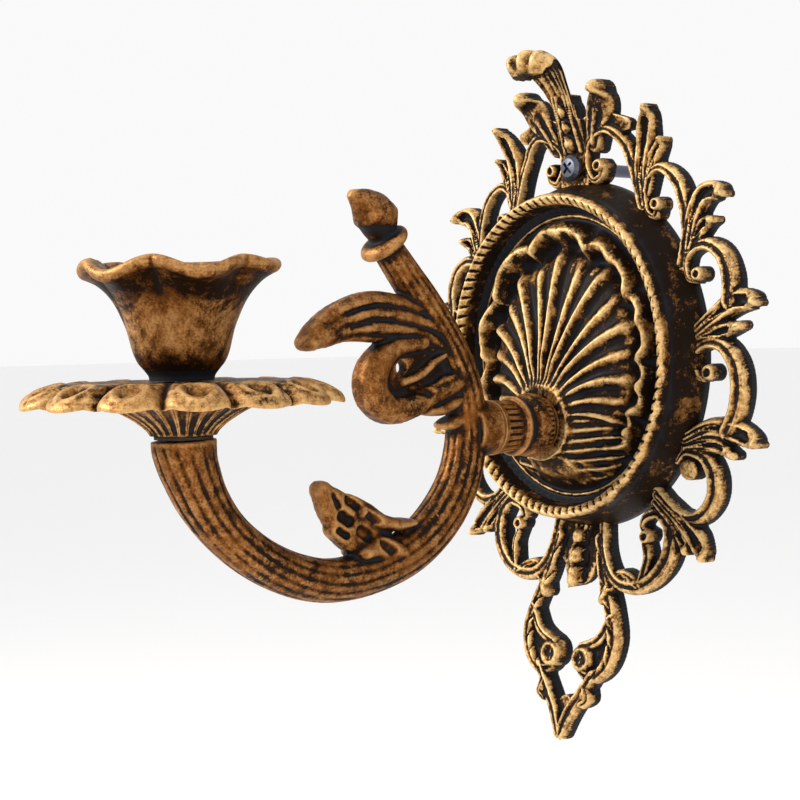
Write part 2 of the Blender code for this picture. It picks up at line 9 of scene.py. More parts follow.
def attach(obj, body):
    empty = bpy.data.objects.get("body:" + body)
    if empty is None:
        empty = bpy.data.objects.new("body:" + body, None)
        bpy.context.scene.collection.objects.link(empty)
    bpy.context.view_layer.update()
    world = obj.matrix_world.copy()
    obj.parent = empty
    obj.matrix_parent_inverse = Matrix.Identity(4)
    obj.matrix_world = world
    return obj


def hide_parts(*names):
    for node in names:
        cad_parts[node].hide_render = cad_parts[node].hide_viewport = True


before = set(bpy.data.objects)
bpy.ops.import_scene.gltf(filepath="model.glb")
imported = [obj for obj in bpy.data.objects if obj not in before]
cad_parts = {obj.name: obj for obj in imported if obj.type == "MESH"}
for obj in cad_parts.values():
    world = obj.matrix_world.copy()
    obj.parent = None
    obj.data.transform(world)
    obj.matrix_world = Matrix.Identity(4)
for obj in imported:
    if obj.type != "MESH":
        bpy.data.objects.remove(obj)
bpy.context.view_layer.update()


# ---------------------------------------------------------------- pierced border
# The flat part of the wall plate: rococo scrolls and leaves round the dish, the crest above and
# the two legs below, cast in one in a zinc alloy. It is sprayed black, and gold paint is rubbed
# over what stands out. Its shape is worked in millimetres, as a relief over a flat sheet.
MM = 0.001
SPREAD = 0.955  # narrows the border about the centre line
CELL = 0.37  # the sheet's cells
TAIL_BEND, TAIL_LEAN = -112.0, 0.18  # below this height the plate leans out from the wall
CREST_BEND, CREST_LEAN = 5.0, 0.33  # above this height it leans out too
OVAL_Z, OVAL_WIDE, OVAL_TALL = -59.3, 50.3, 54.9  # the dish's centre and half sizes


def smooth_path(points, steps=16):
    """A Catmull-Rom curve through rows of numbers."""
    rows = np.array([points[0], *points, points[-1]], float)
    t = np.linspace(0, 1, steps, endpoint=False)[:, None]
    spans = [
        0.5 * (2 * b + (c - a) * t + (2 * a - 5 * b + 4 * c - d) * t**2
               + (3 * b - a - 3 * c + d) * t**3)
        for a, b, c, d in zip(rows, rows[1:], rows[2:], rows[3:])
    ]
    return np.vstack([*spans, rows[-1:]])


def ease(value, low, high):
    """Rises smoothly from 0 at low to 1 at high."""
    t = np.clip((value - low) / (high - low), 0, 1)
    return t * t * (3 - 2 * t)


def lumps(points, size):
    """Soft lumps of about this size, from -1 to 1, at rows of places."""
    return np.array([noise.noise(Vector(point) / size) for point in points])


class Relief:
    """A sheet of small cells in one plane that bands and studs raise into a casting."""

    def __init__(self, low, high, cell):
        self.cell = cell
        low, high = Vector(low), Vector(high)
        cells = [max(1, round(length / cell)) for length in high - low]
        self.sheet = bmesh.new()
        bmesh.ops.create_grid(self.sheet, x_segments=cells[0], y_segments=cells[1], size=0.5)
        place = Matrix.Translation(((low + high) / 2).to_3d())
        size = Matrix.Diagonal((*(high - low), 1, 1))
        bmesh.ops.transform(self.sheet, matrix=place @ size, verts=self.sheet.verts)
        self.place = np.array([vert.co.xy for vert in self.sheet.verts])
        self.inside = np.full(len(self.place), -9.0)
        self.height = np.zeros(len(self.place))
        self.outward = np.zeros((len(self.place), 2))

    def near(self, path):
        """The cells round a path, with their place on it: index, offset, side, half width."""
        reach = path[:, 2].max() / 2 + 1
        low, high = path[:, :2].min(0) - reach, path[:, :2].max(0) + reach
        cells = np.flatnonzero(((self.place > low) & (self.place < high)).all(1))
        gap = (self.place[cells, None, 0] - path[:, 0]) ** 2
        gap += (self.place[cells, None, 1] - path[:, 1]) ** 2
        at = gap.argmin(1)
        offset = self.place[cells] - path[at, :2]
        along = np.gradient(path[:, :2], axis=0)[at]
        turn = np.sign(along[:, 0] * offset[:, 1] - along[:, 1] * offset[:, 0])
        half = path[at, 2] / 2
        return cells, at / (len(path) - 1), offset, turn, half

    def band(self, points, form, steps=16):
        """Raises a band along (across, up, width) points to form(side, along, inside)."""
        cells, along, offset, turn, half = self.near(smooth_path(points, steps))
        apart = np.hypot(*offset.T) + 1e-9
        inside = half - apart
        height = form(turn * apart / half, along, inside)
        raised = (inside > -self.cell) & (height > self.height[cells])
        self.height[cells[raised]] = height[raised]
        wider = inside > self.inside[cells]
        self.inside[cells[wider]] = inside[wider]
        self.outward[cells[wider]] = (offset / apart[:, None])[wider]

    def stud(self, across, up, radius, form, long=1.0):
        """Raises a round or long stud to form(distance from its middle, from 0 to 1)."""
        reach = radius * (long - 1)
        ends = [(across, up + reach, 2 * radius), (across, up - reach - 0.01, 2 * radius)]
        self.band(ends, lambda side, along, inside: form(np.abs(side)), steps=8)

    def dent(self, points, depth):
        """Sinks a round-bottomed hollow along (across, up, width) points."""
        cells, _, offset, _, half = self.near(smooth_path(points))
        apart = np.hypot(*offset.T) / half
        self.height[cells] -= depth * ease(1 - apart, 0.0, 0.55)

    def cast(self, floor, flat_back):
        """Cuts the sheet to its outline and gives it depth from the floor up to the relief."""
        bm = self.sheet
        kept = self.inside > -0.5 * self.cell
        spare = [vert for vert, stays in zip(bm.verts, kept) if not stays]
        bmesh.ops.delete(bm, geom=spare, context="VERTS")
        bmesh.ops.delete(bm, geom=[v for v in bm.verts if not v.link_faces], context="VERTS")
        numbers = {tuple(np.round(place, 4)): i for i, place in enumerate(self.place)}
        for vert in bm.verts:
            i = numbers[tuple(np.round(vert.co.xy, 4))]
            if vert.is_boundary and abs(self.inside[i]) < 1.2 * self.cell:
                vert.co.xy += Vector(self.outward[i] * self.inside[i])
            vert.co.z = self.height[i]
        rim = [vert for vert in bm.verts if vert.is_boundary and vert.co.x > self.cell]
        bmesh.ops.smooth_vert(bm, verts=rim, factor=0.5, use_axis_x=True, use_axis_y=True)
        out = bmesh.ops.extrude_face_region(bm, geom=bm.faces[:])
        top = {item for item in out["geom"] if isinstance(item, bmesh.types.BMVert)}
        for vert in bm.verts:
            if vert not in top:
                vert.co.z = floor
        walls = [edge for edge in bm.edges if (edge.verts[0] in top) != (edge.verts[1] in top)]
        bmesh.ops.subdivide_edges(bm, edges=walls, cuts=3)
        back = [face for face in bm.faces if all(vert.co.z == floor for vert in face.verts)]
        if flat_back:
            behind = set(back)
            inner = [edge for edge in bm.edges
                     if edge.link_faces and behind.issuperset(edge.link_faces)]
            bmesh.ops.dissolve_limit(bm, angle_limit=0.01, verts=[], edges=inner)
        else:
            bmesh.ops.delete(bm, geom=back, context="FACES")
        return bm


def scroll(side, along, inside):
    """A band with a raised rim on its inner side, a groove, and a slope to its outer side."""
    across = [-1.0, -0.92, -0.78, -0.55, -0.3, 0.0, 0.3, 0.62, 0.88, 1.0]
    return np.interp(side, across, [2.4, 4.4, 5.6, 6.0, 5.6, 4.9, 5.4, 5.1, 3.9, 2.2])


def notched(side, along, inside):
    """The same band with leaf scallops cut slantwise into its inner half."""
    gap = np.abs((10 * along - 0.8 * side) % 1 - 0.5) * 2
    return scroll(side, along, inside) - 1.6 * ease(gap, 0.55, 1.0) * ease(-side, -0.15, 0.15)


def leaf(recess=0.6, knuckle=1.3, veins=3.5):
    """A leaf with a drop-shaped recess, fine veins towards its base, and a rolled tip."""
    def form(side, along, inside):
        dome = np.sqrt(np.clip(1 - side**2, 0, 1))
        tip = ease(along, 0.72, 0.9)
        wide = np.interp(along, [0.12, 0.3, 0.55, 0.68, 0.77], [0.0, 0.3, 0.85, 1.0, 0.0])
        drop = np.clip(1 - (side / np.maximum(recess * wide, 0.02)) ** 2, 0, 1)
        ribs = 0.45 * np.cos(math.tau * veins * side / 2) * (1 - ease(along, 0.3, 0.6))
        return 2.4 + 3.2 * dome**0.7 + knuckle * tip * dome + ribs - 2.4 * np.sqrt(drop)
    return form


def eye(apart):
    """A small ring with a dimple in the middle, where a scroll ends."""
    return np.interp(apart, [0, 0.2, 0.4, 0.6, 0.82, 1], [5.2, 5.2, 6.0, 6.5, 5.6, 2.6])


def ball(base, rise):
    return lambda apart: base + rise * np.sqrt(np.clip(1 - apart**2, 0, 1))


def plain(top):
    return lambda side, along, inside: np.full(len(side), top)


SCROLLS = {
    "scroll_1": [(13.0, -0.2, 2.0), (11.6, -3.6, 2.2), (8.0, -4.4, 2.6), (5.0, 0.6, 2.8),
                 (6.6, 7.2, 3.0), (14.4, 10.8, 3.2), (20.6, 7.8, 3.8), (25.0, 1.0, 4.4),
                 (28.4, -8.0, 5.0), (31.0, -17.0, 5.0)],
    "scroll_2": [(36.8, -13.4, 1.8), (35.2, -17.4, 2.2), (31.8, -16.0, 2.6), (30.6, -10.0, 2.8),
                 (32.4, -4.8, 3.0), (37.2, -2.9, 3.4), (43.4, -6.8, 4.2), (46.8, -14.0, 4.6),
                 (48.2, -23.0, 4.8), (46.0, -33.0, 4.8)],
    "scroll_3": [(50.4, -37.6, 1.8), (48.2, -36.6, 2.4), (47.2, -31.6, 2.8), (50.0, -28.0, 3.6),
                 (55.2, -26.8, 4.4), (61.0, -29.8, 5.2), (64.2, -36.6, 5.8), (64.0, -44.0, 5.8)],
    "scroll_4": [(53.4, -66.6, 1.8), (51.0, -65.2, 2.4), (50.0, -59.4, 2.8), (54.4, -56.0, 3.8),
                 (61.0, -56.6, 5.0), (65.8, -61.8, 5.8), (67.2, -68.6, 6.2), (66.0, -75.6, 6.0),
                 (62.6, -82.0, 5.6)],
    "scroll_5": [(43.0, -91.0, 2.6), (46.6, -88.0, 3.6), (53.6, -89.6, 4.8), (57.2, -95.6, 5.6),
                 (56.2, -102.6, 5.4), (50.0, -108.0, 4.8), (42.0, -107.0, 4.2),
                 (34.0, -101.0, 4.0)],
    "scroll_6": [(30.8, -113.8, 2.2), (27.4, -112.2, 2.8), (29.0, -108.8, 3.6),
                 (35.0, -107.4, 4.8), (39.8, -113.0, 5.8), (38.8, -121.6, 6.0),
                 (32.8, -128.2, 5.4), (24.8, -130.8, 5.0), (17.0, -128.8, 4.6),
                 (12.0, -121.5, 4.2), (9.6, -110.0, 4.0)],
    "scroll_6_stalk": [(29.6, -117.0, 2.6), (31.0, -121.6, 3.0), (29.4, -129.0, 3.2)],
    "leg": [(9.6, -117.0, 4.2), (13.0, -129.0, 4.8), (17.6, -139.0, 5.2), (20.0, -147.6, 5.4),
            (18.0, -155.4, 5.0), (12.4, -159.8, 4.4), (6.8, -158.2, 3.6), (6.0, -153.4, 3.0)],
    "leg_hook": [(18.4, -141.0, 4.0), (14.6, -147.0, 4.0), (10.6, -149.6, 3.8), (6.6, -151.0, 3.6)],
    "foot": [(12.6, -159.0, 4.2), (8.0, -165.6, 4.8), (3.6, -172.0, 5.0), (0.6, -178.6, 4.4)],
    "foot_curl": [(9.8, -162.6, 3.0), (11.4, -166.6, 2.8), (9.0, -168.6, 2.8)],
}
LEAVES = {
    "leaf_1": ([(30.4, -14.0, 4.0), (29.0, -3.0, 6.0), (31.0, 7.0, 7.6), (33.8, 13.2, 5.0),
                (34.6, 15.4, 2.0)], leaf()),
    "leaf_1_lobe": ([(31.0, -10.0, 3.6), (33.4, -1.0, 5.0), (36.4, 4.0, 3.6),
                     (37.6, 5.6, 1.8)], leaf(0.55, 1.0, 2.5)),
    "leaf_2": ([(48.0, -28.0, 4.6), (50.0, -19.0, 6.4), (53.8, -12.6, 7.4), (59.4, -11.6, 5.4),
                (61.8, -12.6, 2.4)], leaf()),
    "leaf_2_lobe": ([(49.0, -28.0, 3.6), (53.6, -21.6, 5.0), (57.8, -20.0, 2.6)],
                    leaf(0.5, 0.9, 2.5)),
    "leaf_3": ([(48.0, -54.5, 4.4), (57.5, -48.4, 6.4), (65.4, -44.2, 7.6), (71.8, -43.8, 5.6),
                (74.0, -44.6, 2.4)], leaf()),
    "leaf_3_lobe": ([(48.0, -55.5, 3.6), (59.6, -52.8, 5.2), (67.8, -51.0, 3.0)],
                    leaf(0.5, 0.6, 2.5)),
    "leaf_4": ([(46.0, -84.5, 4.4), (55.6, -81.0, 6.2), (64.8, -81.8, 7.6), (71.4, -84.2, 5.6),
                (73.6, -85.4, 2.4)], leaf()),
    "leaf_4_lobe": ([(46.0, -87.0, 3.6), (57.0, -86.0, 5.0), (64.6, -88.8, 3.0)],
                    leaf(0.5, 0.6, 2.5)),
    "leaf_5": ([(34.0, -102.0, 4.4), (43.0, -108.6, 6.2), (49.0, -114.0, 7.0), (52.4, -118.2, 4.8),
                (53.4, -119.8, 2.2)], leaf()),
    "leaf_5_lobe": ([(33.0, -104.5, 3.4), (40.0, -110.4, 4.6), (45.0, -115.8, 4.2),
                     (46.4, -118.2, 2.4)], leaf(0.5, 0.8, 2.5)),
    "tail_leaf": ([(28.0, -130.4, 3.6), (21.0, -128.0, 5.0), (16.0, -130.6, 5.4),
                   (13.4, -135.6, 4.0)], leaf(0.5, 0.6, 2.5)),
    "side_plume": ([(9.0, 7.0, 6.0), (11.4, 12.0, 8.0), (14.4, 17.2, 10.4), (16.2, 20.4, 9.4),
                    (17.0, 22.6, 6.0)], leaf(0.0, 4.2, 2.5)),
}
EYES = [(10.4, -0.1, 2.5), (34.1, -13.9, 2.4), (49.9, -35.6, 2.4), (53.6, -64.6, 2.7),
        (28.2, -114.8, 2.5)]

border = Relief((0.0, -183.0), (76.0, 37.0), CELL)

# The metal behind the scrolls: in the crest, round the screw, behind the pendant with its reeded
# strip, beside the rings of the legs and in the foot.
border.band([(3.0, 9.0, 9.0), (12.0, 12.4, 8.0), (22.4, 11.6, 4.0)], plain(3.6))
border.band([(0.0, -12.0, 14.0), (0.0, -2.0, 11.0), (0.0, 8.0, 10.0), (0.0, 18.0, 9.0)], plain(5.3))
border.band([(0.0, -108.0, 8.4), (0.0, -113.0, 6.4), (0.0, -117.0, 4.0), (0.0, -125.0, 3.0)],
            lambda side, along, inside: 4.4 + 0.7 * np.cos(math.tau * 1.5 * side))
border.band([(0.0, -108.0, 17.0), (0.0, -118.0, 16.5), (0.0, -124.0, 17.0), (0.0, -126.0, 13.0)],
            plain(3.2))
border.band([(14.0, -150.0, 5.0), (12.4, -153.4, 7.0), (10.0, -157.0, 6.0)], plain(3.2))
border.band([(0.0, -169.4, 5.0), (0.0, -173.0, 7.0), (0.0, -177.0, 5.0)], plain(3.2))

# The scrolls and leaves, then the eyes, the balls and the beads of the crest and the pendant.
for name, points in SCROLLS.items():
    form = notched if name == "leg" else scroll
    border.band([(SPREAD * across, up, width) for across, up, width in points], form)
for points, form in LEAVES.values():
    border.band([(SPREAD * across, up, width) for across, up, width in points], form)
for across, up, radius in EYES:
    border.stud(across, up, radius, eye)
border.stud(SPREAD * 47.6, -93.4, 3.4, ball(4.6, 2.2))  # the plain ball inside the fifth scroll
border.stud(7.0, -154.4, 5.0, eye)  # the rings where the legs curl in
border.stud(SPREAD * 9.6, -165.4, 1.9, ball(4.2, 1.8))
for up, radius in ((17.3, 1.7), (12.5, 1.6), (7.3, 2.1)):
    border.stud(0.0, up, radius, ball(5.6, 1.3 * radius))
for up, radius, long in ((-116.8, 1.9, 1.2), (-122.6, 2.5, 1.2), (-129.4, 2.3, 1.5)):
    border.stud(0.0, up, radius, ball(5.0, 1.2 * radius), long)
for across in (1.6, 3.2):  # thin ribs that part on the way up from the screw to the plume
    border.band([(across, 22.0, 1.3), (3.0, 12.0, 1.2), (3.4, 5.0, 1.2)],
                lambda side, along, inside: 6.6 - 0.9 * side**2)

# The dish covers the middle, so the sheet is open there. One half is cast and then mirrored.
inside_dish = np.hypot(border.place[:, 0] / OVAL_WIDE, (border.place[:, 1] - OVAL_Z) / OVAL_TALL)
border.inside[inside_dish < 0.97] = -9.0
border.height += 0.16 * lumps(np.column_stack([border.place, border.place[:, 0] * 0]), 1.3)
bm = border.cast(0.0, flat_back=True)
middle = [face for face in bm.faces if all(abs(vert.co.x) < 1e-4 for vert in face.verts)]
bmesh.ops.delete(bm, geom=middle, context="FACES")
bmesh.ops.mirror(bm, geom=bm.verts[:] + bm.edges[:] + bm.faces[:], axis="X", merge_dist=1e-3)
bmesh.ops.transform(bm, matrix=Matrix.Rotation(math.radians(90), 4, "X"), verts=bm.verts)


def lean_out(verts):
    """Leans the tail and the crest out from the wall, straight from each bend line."""
    for vert in verts:
        vert.co.y -= TAIL_LEAN * max(0.0, TAIL_BEND - vert.co.z)
        vert.co.y -= CREST_LEAN * max(0.0, vert.co.z - CREST_BEND)


def make_piece(name, bm, body, slot, *nodes):
    """Turns a mesh in millimetres into a piece that rides on its body."""
    bmesh.ops.scale(bm, vec=(MM, MM, MM), verts=bm.verts)
    bmesh.ops.recalc_face_normals(bm, faces=bm.faces)
    mesh = bpy.data.meshes.new(name)
    bm.to_mesh(mesh)
    bm.free()
    mesh.shade_smooth()
    piece = bpy.data.objects.new(name, mesh)
    bpy.context.collection.objects.link(piece)
    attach(piece, body)
    if nodes:
        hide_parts(*nodes)
    return piece


lean_out(bm.verts)
plate_border = make_piece("plate_border", bm, "mounted_frame", "antique_gold", "wall_plate")


KEY_SPAN = 8192  # more cells than any piece has along an axis


def cell_mean(points, cell):
    """The mean place of the surface within about one cell of each point."""
    base = np.floor(points / cell).astype(np.int64)
    part = points / cell - base
    weights, keys = [], []
    for corner in np.ndindex(2, 2, 2):
        weights.append(np.prod(np.where(corner, part, 1 - part), axis=1))
        at = base + corner + KEY_SPAN // 2
        keys.append((at[:, 0] * KEY_SPAN + at[:, 1]) * KEY_SPAN + at[:, 2])
    weights, keys = np.concatenate(weights), np.concatenate(keys)
    _, where = np.unique(keys, return_inverse=True)
    total = np.maximum(np.bincount(where, weights), 1e-12)
    repeated = np.tile(points, (8, 1))
    sums = [np.bincount(where, weights * repeated[:, axis]) / total for axis in range(3)]
    return (weights[:, None] * np.stack(sums, 1)[where]).reshape(8, len(points), 3).sum(0)


def rub(piece, facing=None, aside=-0.45, straight=0.45, painted_shade=None):
    """Stores how far each point stands proud of what is round it, for the rubbed-on gold.

    The value is 0 in a hollow, 0.5 on a flat and 1 on an edge. Where the rubbing comes from
    one direction, faces that look aside from it get less, and the last argument takes more off,
    to paint shade as darker black where it falls.
    """
    mesh = piece.data
    points = np.zeros(len(mesh.vertices) * 3)
    normals = np.zeros(len(mesh.vertices) * 3)
    mesh.vertices.foreach_get("co", points)
    mesh.vertex_normals.foreach_get("vector", normals)
    points, normals = points.reshape(-1, 3), normals.reshape(-1, 3)
    proud = np.zeros(len(points))
    for cell, share in ((0.8 * MM, 0.9), (1.6 * MM, 1.0), (3.2 * MM, 0.5)):  # fine to coarse
        proud += share * ((points - cell_mean(points, cell)) * normals).sum(1) / cell
    value = 0.5 + proud
    if facing:
        value -= 0.7 * (1 - ease(normals @ np.array(facing, float), aside, straight))
    if painted_shade:
        value -= painted_shade(points / MM)
    stored = mesh.attributes.new("proud", "FLOAT", "POINT")
    stored.data.foreach_set("value", np.clip(value, 0, 1).astype(np.float32))


rub(plate_border, facing=(0, -1, 0))


class Number:
    """A number in a material: arithmetic on it adds the Math nodes."""

    def __init__(self, finish, socket):
        self.finish = finish
        self.socket = socket

    def maths(self, operation, first, second):
        return self.finish.node("ShaderNodeMath", {"operation": operation}, {0: first, 1: second})

    def __add__(self, other):
        return self.maths("ADD", self, other)

    def __radd__(self, other):
        return self.maths("ADD", other, self)

    def __mul__(self, other):
        return self.maths("MULTIPLY", self, other)

    def __rmul__(self, other):
        return self.maths("MULTIPLY", other, self)


class Finish:
    """A material whose nodes are added one by one."""

    def __init__(self, name):
        self.material = bpy.data.materials.new(name)
        self.material.use_nodes = True
        self.tree = self.material.node_tree
        self.shader = self.tree.nodes["Principled BSDF"]

    def feed(self, socket, value):
        if isinstance(value, Number):
            self.tree.links.new(value.socket, socket)
        else:
            socket.default_value = value

    def node(self, kind, settings=(), sockets=(), output=0):
        made = self.tree.nodes.new(kind)
        for name, value in dict(settings).items():
            setattr(made, name, value)
        for name, value in dict(sockets).items():
            self.feed(made.inputs[name], value)
        return Number(self, made.outputs[output])

    def noise(self, scale, detail=3.0, roughness=0.6, stretch=(1, 1, 1)):
        at = self.node("ShaderNodeTexCoord", output="Object")
        if stretch != (1, 1, 1):
            at = self.node("ShaderNodeMapping", {}, {"Vector": at, "Scale": stretch})
        return self.node("ShaderNodeTexNoise", {}, {
            "Vector": at, "Scale": scale, "Detail": detail, "Roughness": roughness})

    def step(self, value, low, high):
        return self.node("ShaderNodeMapRange", {"interpolation_type": "SMOOTHSTEP"},
                         {"Value": value, "From Min": low, "From Max": high})

    def mix(self, share, first, second):
        return self.node("ShaderNodeMix", {"data_type": "RGBA"},
                         {"Factor": share, 6: first, 7: second}, output=2)

    def bump(self, height, distance, strength=1.0):
        return self.node("ShaderNodeBump", {}, {
            "Height": height, "Distance": distance, "Strength": strength})

    def give(self, **sockets):
        for name, value in sockets.items():
            self.feed(self.shader.inputs[name.replace("_", " ")], value)
        return self.material


def antique(name, highlight_gold, gold, deep, black, cover, streak=(1, 1, 1)):
    """Black paint with gold rubbed on what stands out, its palest gold a painted highlight. A
    higher cover leaves more gold.

    In the hollows the black is tinted blue, a painted reflection of the pale sky.
    """
    f = Finish(name)
    proud = f.node("ShaderNodeAttribute", {"attribute_name": "proud"}, output="Fac")
    blotch = f.noise(95, 3.0, 0.6, streak)
    mottle = f.noise(330, 4.0, 0.65, streak)
    grain = f.noise(1500, 3.0, 0.7)
    # The gold is left where the shape stands proud, and in blotches, mottling and fine grain.
    level = 1.7 * proud + 1.9 * blotch + 1.6 * mottle + 0.9 * grain
    rubbed = f.step(level, 2.98 - cover, 3.3 - cover)
    rich = f.step(level, 3.1 - cover, 3.8 - cover)
    # Painted highlight: the palest gold goes on the most proud edges and in flecks, where
    # highlights would catch.
    painted_highlight = f.step(1.1 * proud + 1.2 * mottle + 1.0 * grain, 1.7, 2.4)
    paint = f.mix(painted_highlight, f.mix(rich, deep, gold), highlight_gold)
    # Painted reflection: where the shape sinks, the black is tinted blue as if it mirrored the sky.
    black_with_painted_reflection = f.mix(f.step(proud, 0.12, 0.42), (0.011, 0.013, 0.018, 1), black)
    colour = f.mix(rubbed, black_with_painted_reflection, paint)
    return f.give(
        Base_Color=colour, Metallic=0.05 + 0.5 * rubbed, Roughness=0.34 + 0.3 * mottle,
        Specular_IOR_Level=0.08, Normal=f.bump(0.8 * grain + 0.5 * rubbed, 0.00022, 0.7))


# The first colour of each finish is its painted highlight.
PLATE_GOLD = antique("plate_gold", (0.69, 0.48, 0.225, 1), (0.30, 0.16, 0.047, 1),
                     (0.11, 0.046, 0.011, 1), (0.008, 0.004, 0.002, 1), 0.0)
plate_border.data.materials.append(PLATE_GOLD)


# ---------------------------------------------------------------- dish and shell
# The raised middle of the wall plate, cast in one with the border: a sloping skirt, a roped ring,
# a dark hollow moulding, and a scallop shell whose ribs fan out from the hub that carries the arm.
# Its back is hollow. The rings below run from the wall over the front and back round inside.
HUB_Z, HUB_RADIUS = -80.4, 11.0
BOLT_HOLE = 2.85
SHELL_EDGE = 0.775  # share of the oval where the shell's lip begins
ROPE_AT, ROPE_HALF = 0.896, 0.038  # share of the oval at the rope's middle, and half its width
ROPE_TURNS, ROPE_NOTCH = 92, 2.0
RIB_PITCH, RIB_CURVE = 12.4, 0.56  # degrees between the upper ribs, and how much they bend
RIB_HEIGHT, RIB_SINK = 3.1, 1.3  # ribs from groove to top, and how far the grooves are sunk
SIDE_FROM, SIDE_PITCH = 101, 3.1  # degrees from the top to the side ribs, and mm between them
TONGUE_FROM, TONGUE_FULL = 141, 150  # degrees from the top to the smooth tongue
LIP_LOBE, LIP_PHASE = 25.5, 12  # degrees from one lobe of the lip to the next
LIP_HEIGHT, POCKET_DEPTH = 3.8, 2.8
DISH_COLUMNS = 576


def skin(points):
    """Stretches a grid over rows of columns of places, and closes it where its edges meet."""
    rows, columns = points.shape[:2]
    bm = bmesh.new()
    bmesh.ops.create_grid(bm, x_segments=columns - 1, y_segments=rows - 1, size=1.0)
    for vert, place in zip(bm.verts, points.reshape(-1, 3)):
        vert.co = place
    bmesh.ops.remove_doubles(bm, verts=bm.verts, dist=1e-4)
    bmesh.ops.dissolve_degenerate(bm, edges=bm.edges, dist=1e-5)
    return bm


def bell(value, middle, width):
    """A soft hump of height 1."""
    return np.exp(-((value - middle) / width) ** 2)


FRONT = [  # share of the oval, distance out from the wall, share of the way down to the hub
    (1.0, 0.0, 0), (1.0, 2.6, 0), (0.985, 5.0, 0), (0.958, 9.0, 0), (0.938, 12.6, 0),
    (0.934, 14.8, 0), (0.924, 16.8, 0), (0.904, 17.9, 0), (0.882, 17.2, 0), (0.866, 16.2, 0),
    (0.858, 13.6, 0), (0.842, 10.8, 0), (0.818, 9.4, 0), (0.80, 9.8, 0), (0.79, 9.2, 0),
    (0.78, 9.0, 0), (0.74, 9.8, 0.04), (0.66, 11.6, 0.16), (0.58, 14.0, 0.30), (0.48, 16.4, 0.48),
    (0.37, 18.8, 0.70), (0.28, 21.0, 0.88), (HUB_RADIUS / OVAL_WIDE, 22.0, 1.0),
]
BACK = [
    (BOLT_HOLE / OVAL_WIDE, 22.0, 1.0), (BOLT_HOLE / OVAL_WIDE, 17.0, 1.0), (0.16, 17.0, 1.0),
    (0.31, 15.2, 0.78), (0.54, 10.4, 0.34), (0.71, 5.2, 0.06), (0.79, 5.4, 0), (0.84, 11.2, 0),
    (0.865, 12.0, 0), (0.89, 8.4, 0), (0.93, 0.8, 0), (0.935, 0.0, 0), (1.0, 0.0, 0),
]
front = smooth_path(FRONT, 7)
back = np.array(BACK)
levels = np.vstack([front, back])
shell_rows = (np.arange(len(levels)) < len(front)) & (levels[:, 0] < SHELL_EDGE + 0.001)
turn = np.linspace(0, math.tau, DISH_COLUMNS + 1)
share, out, down = levels[:, 0, None], levels[:, 1, None], levels[:, 2, None]
tall = OVAL_TALL + (OVAL_WIDE - OVAL_TALL) * down
x = share * OVAL_WIDE * np.sin(turn)
z = OVAL_Z + (HUB_Z - OVAL_Z) * down + share * tall * np.cos(turn)
y = -out + 0 * turn

# The rope: slanting notches cut into the ring from its inner edge.
across = (share - ROPE_AT) / ROPE_HALF
arc = ROPE_TURNS * turn / math.tau + 0.35 * across
notch = np.abs((arc % 1) - 0.5) * 2
on_ring = ease(1 - np.abs(across), 0.0, 0.25) * (shell_rows[:, None] == 0) * (out > 11)
inner = ease(-across, -0.35, 0.0)
y += on_ring * inner * ROPE_NOTCH * ease(notch, 0.55, 0.98)
y += on_ring * (1 - inner) * 0.25 * ease(notch, 0.7, 1.0)

# The shell: ribs that leave the hub steeply and bend outwards, level ribs at each side of the
# hub, a smooth tongue below it, and a lobed, rolled lip with a hollow inside it.
reach = np.hypot(x, z - HUB_Z)
bearing = np.abs(np.arctan2(x, z - HUB_Z))
edge = reach[np.argmax(shell_rows)][None, :]
rise = np.clip((reach - HUB_RADIUS) / (edge - HUB_RADIUS), 0, 1)
fan = bearing.copy()
for _ in range(8):
    fan = bearing / (1 - RIB_CURVE * (1 - rise) * np.cos(np.clip(fan, 0, math.pi) / 2) ** 2)
fan = np.degrees(fan)
smooth_tongue = ease(fan, TONGUE_FROM, TONGUE_FULL)
lower = ease(fan, SIDE_FROM - 3, SIDE_FROM + 3)
level_rib = (HUB_Z - z + 0.10 * np.abs(x)) / SIDE_PITCH
rib_phase = np.where(fan < SIDE_FROM, fan / RIB_PITCH, level_rib)
sharp = np.abs((rib_phase % 1) - 0.5) * 2
rib = ease(sharp, 0.24, 0.98) * (1 - bell(fan, SIDE_FROM, 2.2))
main = 0.80 + 0.20 * np.cos(math.pi * np.round(rib_phase)) * (1 - lower)
swell = ease(rise, 0.0, 0.22) * (1 - ease(rise, 0.86, 0.97))
relief = (RIB_HEIGHT * rib * main - RIB_SINK) * swell * (1 - 0.3 * lower) * (1 - smooth_tongue)
lobe = np.abs(np.sin(math.pi * (fan + LIP_PHASE) / LIP_LOBE))
from_edge = (1 - rise) * (edge - HUB_RADIUS)
lip_at = 2.6 + 3.4 * (1 - lobe) ** 1.5
lip = bell(from_edge, lip_at, 3.2 - 0.8 * ease(fan, 15, 45)) * (LIP_HEIGHT + 1.6 * lobe)
pocket = bell(from_edge, lip_at + 5.4, 2.4) * POCKET_DEPTH
upper = 1 - 0.55 * ease(fan, 96, 120)
relief += (lip - pocket) * upper * (1 - 0.9 * smooth_tongue)
relief += smooth_tongue * 2.2 * bell(rise, 0.45, 0.35)
relief += 0.9 * bell(rise, 0.02, 0.03)
y -= np.where(shell_rows[:, None], relief, 0)
grit = lumps(np.stack([x, y, z], -1)[:len(front)].reshape(-1, 3), 1.2).reshape(len(front), -1)
y[:len(front)] -= 0.14 * grit * ((share > 0.01) & (share < 0.999))[:len(front)]
dish = make_piece("dish_and_shell", skin(np.stack([x, y, z], -1)), "mounted_frame",
                  "antique_gold", "wall_plate")
rub(dish, facing=(0, -1, 0), aside=-0.5, straight=0.6)
dish.data.materials.append(PLATE_GOLD)


